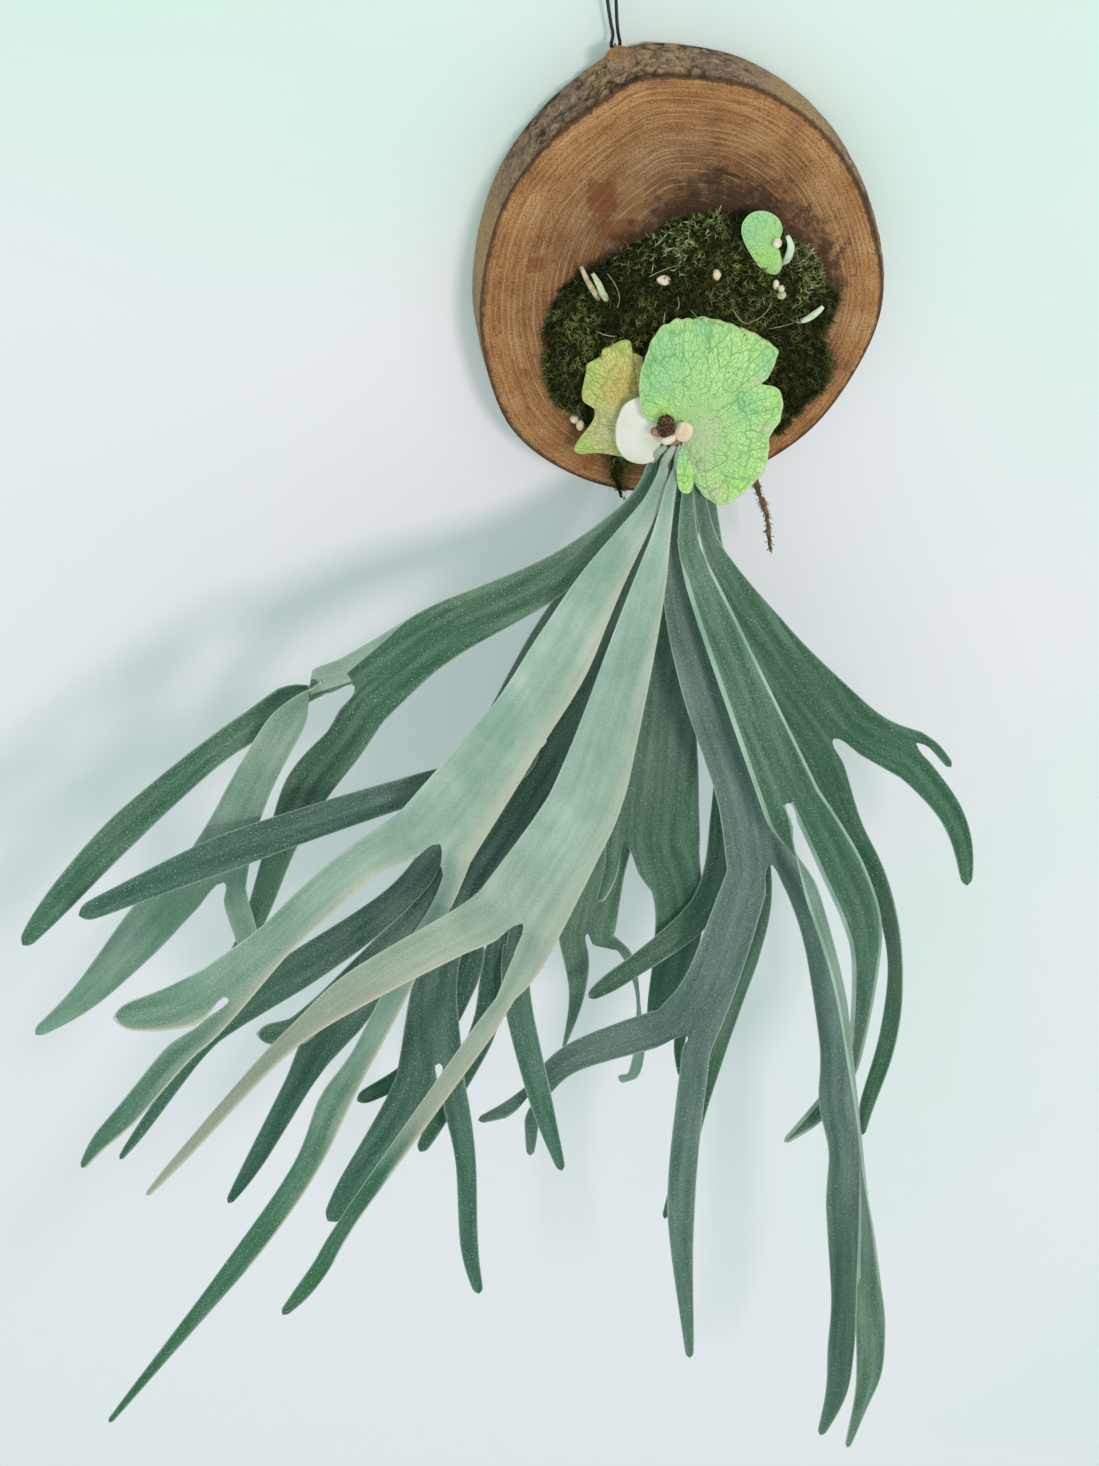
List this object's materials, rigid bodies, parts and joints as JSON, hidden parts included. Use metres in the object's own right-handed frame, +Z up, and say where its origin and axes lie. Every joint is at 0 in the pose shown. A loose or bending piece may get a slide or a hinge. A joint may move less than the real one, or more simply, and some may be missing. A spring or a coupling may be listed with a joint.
{
  "type": "mounted staghorn fern",
  "caption": "Staghorn fern on a round slice of tree trunk, with moss, pale shield fronds, long forked hanging fronds and a wire loop to hang it by.",
  "frame": {"origin": "centre of the flat back face of the wood slice, on the wall", "axes": "+Z up, +Y into the wall, the fern faces -Y, +X to the viewer's right"},
  "size_m": [0.5687, 0.3529, 0.9701],
  "materials": {
    "wood": "sawn end grain with rough bark round the edge",
    "wire": "glossy black coating",
    "moss": "matt, shaggy",
    "crown_scales": "matt, scaly",
    "buds": "matt, downy",
    "green_shield": "satin",
    "old_shield": "satin, drying",
    "pale_shield": "matt, downy",
    "green_frond": "satin under thin white down",
    "silver_frond": "matt white down"
  },
  "bodies": {
    "root": {"wood_slab": "wood", "wire_staple": "wire", "hanging_wire": "wire", "moss_pad": "moss", "crown": "crown_scales", "crown_buds": "buds", "shield_main": "green_shield", "shield_left": "old_shield", "shield_young": "pale_shield", "shield_flap": "green_shield", "pup_shield": "green_shield", "pup_leaf": "green_shield", "pup_strap_brown": "crown_scales", "pup_strap_green": "pale_shield", "pup_strap_right": "pale_shield", "bud_tan": "buds", "bud_pink": "buds", "bud_pair": "buds", "bud_low": "buds", "frond_left_high": "green_frond", "frond_front_left": "silver_frond", "frond_front_centre": "silver_frond", "frond_left_low": "green_frond", "frond_under_left": "silver_frond", "frond_under_centre": "silver_frond", "frond_broad": "green_frond", "frond_thin": "silver_frond", "frond_under_right": "silver_frond", "frond_right_long": "green_frond", "frond_right_curled": "green_frond", "frond_right_high": "green_frond"}
  },
  "joints": []
}
